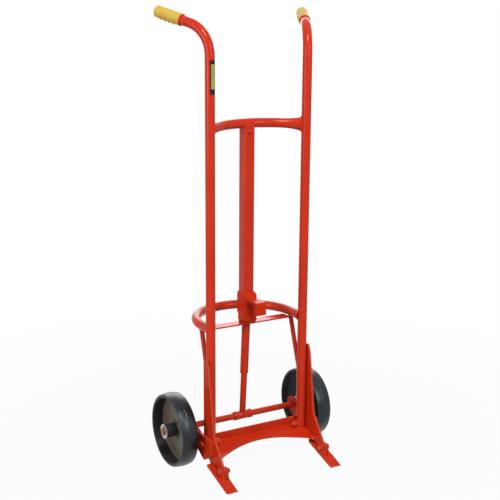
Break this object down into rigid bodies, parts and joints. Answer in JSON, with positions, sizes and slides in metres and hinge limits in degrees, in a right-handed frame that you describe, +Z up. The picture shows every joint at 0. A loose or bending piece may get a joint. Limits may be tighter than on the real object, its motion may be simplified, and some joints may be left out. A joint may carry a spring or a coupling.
{
  "type": "drum trolley",
  "caption": "Red tubular drum trolley with bent-back handles, sliding chime hook, swinging prongs, sprung axle and black rubber-tyred wheels.",
  "frame": {"origin": "middle of the bounding box on the floor, below the chime hook's post and behind the uprights", "axes": "+X to the right as seen from the drum side, +Y rearwards to the operator, +Z up"},
  "size_m": [0.625, 0.4524, 1.5232],
  "materials": {
    "red_paint": "gloss",
    "yellow_vinyl": "satin",
    "black_rubber": "satin",
    "black_enamel": "satin",
    "zinc_steel": "satin",
    "spring_steel": "satin"
  },
  "bodies": {
    "frame": {"left_upright": "red_paint", "right_upright": "red_paint", "left_grip": "yellow_vinyl", "right_grip": "yellow_vinyl", "top_crossbar": "red_paint", "lower_ring": "red_paint", "tie_strip": "red_paint", "left_brace": "red_paint", "right_brace": "red_paint", "centre_post": "red_paint", "post_stop": "red_paint", "nose_plate": "red_paint", "left_toe_plate": "red_paint", "right_toe_plate": "red_paint", "arm_pivot_bolts": "red_paint", "arm_pivot_nuts": "red_paint", "arm_stop_pins": "red_paint", "prong_pivot_bolts": "red_paint", "prong_pivot_nuts": "red_paint", "strut_pin": "red_paint"},
    "axle_carriage": {"left_axle_arm": "red_paint", "right_axle_arm": "red_paint", "axle": "red_paint", "inner_washers": "zinc_steel", "outer_washers": "zinc_steel", "cotter_pins": "zinc_steel", "shaft_collars": "red_paint", "set_screws": "red_paint"},
    "left_wheel": {"left_tyre": "black_rubber", "left_wheel_centre": "black_enamel", "left_roller_bearing": "zinc_steel"},
    "right_wheel": {"right_tyre": "black_rubber", "right_wheel_centre": "black_enamel", "right_roller_bearing": "zinc_steel"},
    "chime_hook_slider": {"chime_hook": "red_paint"},
    "left_prong_body": {"left_prong": "red_paint"},
    "right_prong_body": {"right_prong": "red_paint"},
    "strut_upper": {"strut_tube": "red_paint", "strut_spring_seat": "zinc_steel", "strut_spring": "spring_steel"},
    "strut_lower": {"strut_rod": "red_paint", "axle_sleeve": "red_paint"}
  },
  "joints": [
    {"name": "axle_swing", "type": "hinge", "parent": "frame", "child": "axle_carriage", "pos_m": [0, -0.03415, 0.098], "axis": [1, 0, 0], "range_deg": [0, 6], "stiffness_Nm_per_rad": 150, "springref_deg": -17.19},
    {"name": "left_wheel_spin", "type": "hinge", "parent": "axle_carriage", "child": "left_wheel", "pos_m": [-0.26587, 0.06685, 0.127], "axis": [1, 0, 0], "continuous": true},
    {"name": "right_wheel_spin", "type": "hinge", "parent": "axle_carriage", "child": "right_wheel", "pos_m": [0.26587, 0.06685, 0.127], "axis": [1, 0, 0], "continuous": true},
    {"name": "chime_hook_slide", "type": "slide", "parent": "frame", "child": "chime_hook_slider", "axis": [0, 0, 1], "range_m": [0, 0.532]},
    {"name": "left_prong_tilt", "type": "hinge", "parent": "frame", "child": "left_prong_body", "pos_m": [-0.19798, -0.15615, 0.047], "axis": [1, 0, 0], "range_deg": [0, 8]},
    {"name": "right_prong_tilt", "type": "hinge", "parent": "frame", "child": "right_prong_body", "pos_m": [0.19798, -0.15615, 0.047], "axis": [1, 0, 0], "range_deg": [0, 8]},
    {"name": "strut_tilt", "type": "hinge", "parent": "frame", "child": "strut_upper", "pos_m": [0, 0.04485, 0.4552], "axis": [1, 0, 0], "range_deg": [-0.6, 0]},
    {"name": "strut_slide", "type": "slide", "parent": "strut_upper", "child": "strut_lower", "axis": [0, -0.0669, 0.9978], "range_m": [0, 0.0107], "deforming": ["strut_spring"]}
  ],
  "couplings": [
    {"joint": "strut_tilt", "follows": "axle_swing", "ratio": -0.0865},
    {"joint": "strut_slide", "follows": "axle_swing", "m_per_rad": 0.1012}
  ]
}
